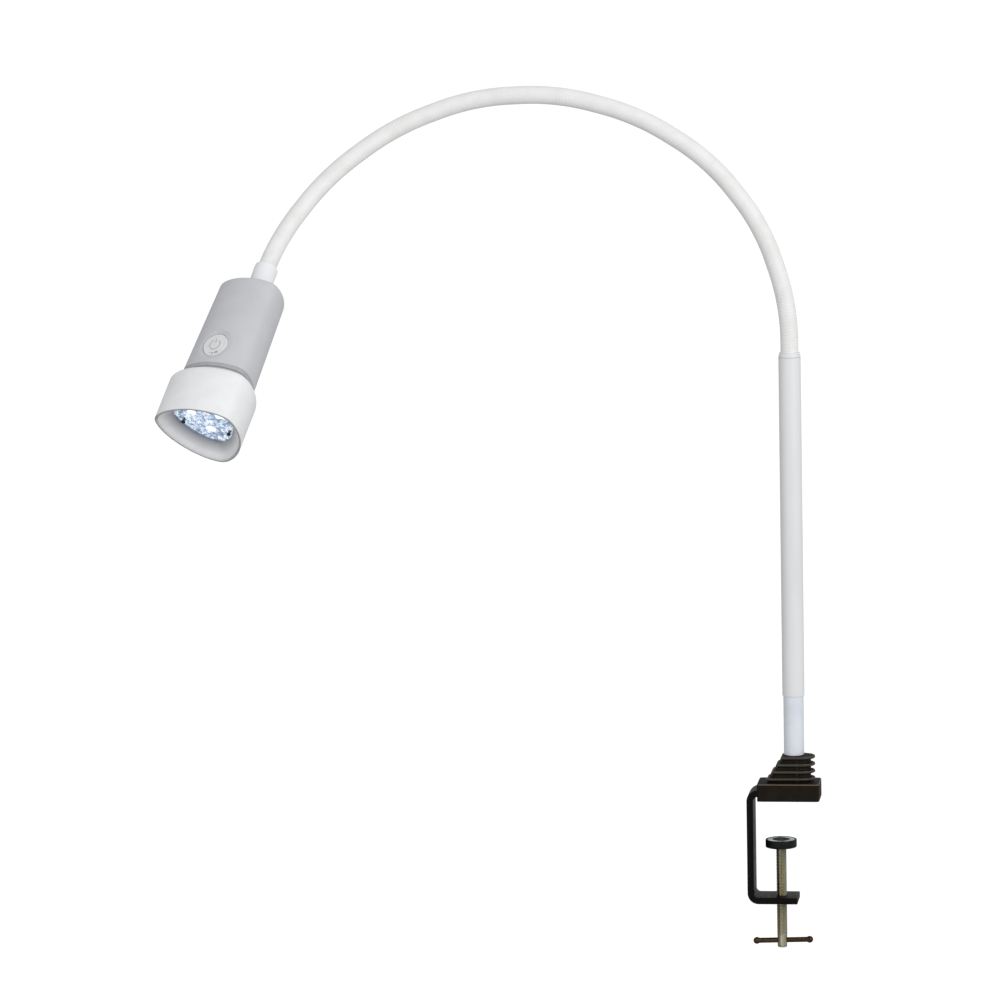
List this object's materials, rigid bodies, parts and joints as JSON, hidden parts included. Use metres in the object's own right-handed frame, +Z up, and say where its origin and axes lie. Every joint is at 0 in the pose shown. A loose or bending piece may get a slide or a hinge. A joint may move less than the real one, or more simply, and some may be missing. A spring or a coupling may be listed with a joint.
{
  "type": "examination lamp",
  "caption": "Table-clamp examination lamp: swivelling mast, bendable white gooseneck and a rounded-triangle LED head with a push button.",
  "frame": {"origin": "lower face of the upper jaw's pad, where the clamp screw's axis meets it: the point that sits on the top edge of the table or rail the lamp is clamped to", "axes": "+Z up along the mast and the clamp screw, -X the way the gooseneck reaches, -Y the front, the side the head faces"},
  "size_m": [0.62, 0.2837, 0.8648],
  "materials": {
    "black_steel": "black powder-coated flat steel bar, satin, slightly brown in the light",
    "black_plastic": "fine-textured black moulded plastic",
    "black_rubber": "black rubber",
    "brass": "turned brass",
    "zinc": "zinc-plated steel, slightly yellow, oily marks",
    "bronzed_steel": "dark bronzed steel, polished",
    "mast_metal": "pale grey-blue enamelled steel tube, semi-gloss",
    "pale_plastic": "pale grey moulded plastic, satin",
    "white_vinyl": "white ribbed vinyl hose cover, satin",
    "spring_steel": "bright spring steel",
    "grey_plastic": "mid-grey moulded plastic, satin",
    "white_plastic": "white moulded plastic, semi-gloss",
    "baffle_grey": "light grey satin plastic",
    "clear": "clear polycarbonate",
    "led_yellow": "LED phosphor",
    "board_white": "white-coated aluminium LED board",
    "circuit_green": "green circuit board",
    "capacitor_sleeve": "dark blue capacitor sleeve",
    "aluminium": "bare aluminium"
  },
  "bodies": {
    "clamp": {"clamp_frame": "black_steel", "clamp_hood": "black_plastic", "ribbed_tower": "black_plastic", "jaw_pad": "black_rubber", "hood_screw_1": "zinc", "hood_screw_2": "zinc", "mast_bush": "brass"},
    "pad": {"pressure_pad": "black_plastic"},
    "screw": {"clamp_screw": "zinc"},
    "tommy": {"tommy_bar": "bronzed_steel"},
    "mast": {"mast_retaining_screw": "zinc", "spigot_tube": "mast_metal", "mast_sleeve": "pale_plastic", "hose_socket": "pale_plastic", "socket_set_screw": "zinc", "cable_grommet": "black_rubber", "hose_sheath_1": "white_vinyl", "hose_core_1": "spring_steel"},
    "hose_2": {"hose_sheath_2": "white_vinyl", "hose_core_2": "spring_steel"},
    "hose_3": {"hose_sheath_3": "white_vinyl", "hose_core_3": "spring_steel"},
    "hose_4": {"hose_sheath_4": "white_vinyl", "hose_core_4": "spring_steel"},
    "hose_5": {"hose_sheath_5": "white_vinyl", "hose_core_5": "spring_steel"},
    "hose_6": {"hose_sheath_6": "white_vinyl", "hose_core_6": "spring_steel"},
    "hose_7": {"hose_sheath_7": "white_vinyl", "hose_core_7": "spring_steel"},
    "hose_8": {"hose_sheath_8": "white_vinyl", "hose_core_8": "spring_steel"},
    "head": {"hose_sheath_9": "white_vinyl", "hose_core_9": "spring_steel", "neck_collar": "white_plastic", "neck_locknut": "brass", "rear_housing": "grey_plastic", "housing_seal": "black_rubber", "front_shade": "white_plastic", "inner_baffle": "baffle_grey", "housing_screw_1": "zinc", "housing_screw_2": "zinc", "window": "clear", "window_screw_1": "zinc", "window_screw_2": "zinc", "window_screw_3": "zinc", "optic_1": "clear", "led_1": "led_yellow", "optic_2": "clear", "led_2": "led_yellow", "optic_3": "clear", "led_3": "led_yellow", "led_board": "board_white", "heat_sink": "aluminium", "button_spring": "spring_steel", "power_switch": "black_plastic", "driver_board": "circuit_green", "capacitor": "capacitor_sleeve", "supply_lead": "black_rubber"},
    "button": {"power_button": "pale_plastic"}
  },
  "joints": [
    {"name": "mast_swivel", "type": "hinge", "parent": "clamp", "child": "mast", "pos_m": [0.014, 0, 0.0448], "axis": [0, 0, 1], "range_deg": [-170, 170]},
    {"name": "hose_bend_1", "type": "hinge", "parent": "mast", "child": "hose_2", "pos_m": [0.00277, 0, 0.52938], "axis": [0, -1, 0], "range_deg": [-55, 20]},
    {"name": "hose_bend_2", "type": "hinge", "parent": "hose_2", "child": "hose_3", "pos_m": [-0.03413, 0, 0.60266], "axis": [0.788, 0, 0.6157], "range_deg": [-35, 35]},
    {"name": "hose_bend_3", "type": "hinge", "parent": "hose_3", "child": "hose_4", "pos_m": [-0.09367, 0, 0.65915], "axis": [0, -1, 0], "range_deg": [-55, 20]},
    {"name": "hose_bend_4", "type": "hinge", "parent": "hose_4", "child": "hose_5", "pos_m": [-0.16811, 0, 0.69399], "axis": [0, -1, 0], "range_deg": [-55, 20]},
    {"name": "hose_bend_5", "type": "hinge", "parent": "hose_5", "child": "hose_6", "pos_m": [-0.24951, 0, 0.70523], "axis": [-0.0339, 0.24, 0.9702], "range_deg": [-35, 35]},
    {"name": "hose_bend_6", "type": "hinge", "parent": "hose_6", "child": "hose_7", "pos_m": [-0.33024, -0.00569, 0.6916], "axis": [-0.0398, -0.8546, 0.5178], "range_deg": [-55, 20]},
    {"name": "hose_bend_7", "type": "hinge", "parent": "hose_7", "child": "hose_8", "pos_m": [-0.40167, -0.02486, 0.65595], "axis": [-0.6366, 0.5136, 0.5753], "range_deg": [-35, 35]},
    {"name": "hose_bend_8", "type": "hinge", "parent": "hose_8", "child": "head", "pos_m": [-0.45663, -0.05773, 0.60453], "axis": [-0.1853, -0.7363, 0.6507], "range_deg": [-55, 20]},
    {"name": "screw_lift", "type": "slide", "parent": "clamp", "child": "pad", "axis": [0, 0, 1], "range_m": [-0.047, 0.035]},
    {"name": "screw_turn", "type": "hinge", "parent": "pad", "child": "screw", "pos_m": [0, 0, -0.1], "axis": [0, 0, 1], "range_deg": [-11281, 8401]},
    {"name": "tommy_slide", "type": "slide", "parent": "screw", "child": "tommy", "axis": [0.9903, 0.1392, 0], "range_m": [-0.018, 0.017]},
    {"name": "button_press", "type": "slide", "parent": "head", "child": "button", "axis": [0.305, 0.6797, -0.667], "range_m": [0, 0.001], "stiffness_N_per_m": 1500, "springref_m": -0.0006}
  ],
  "couplings": [
    {"joint": "screw_turn", "follows": "screw_lift", "rad_per_m": 4188.8}
  ]
}
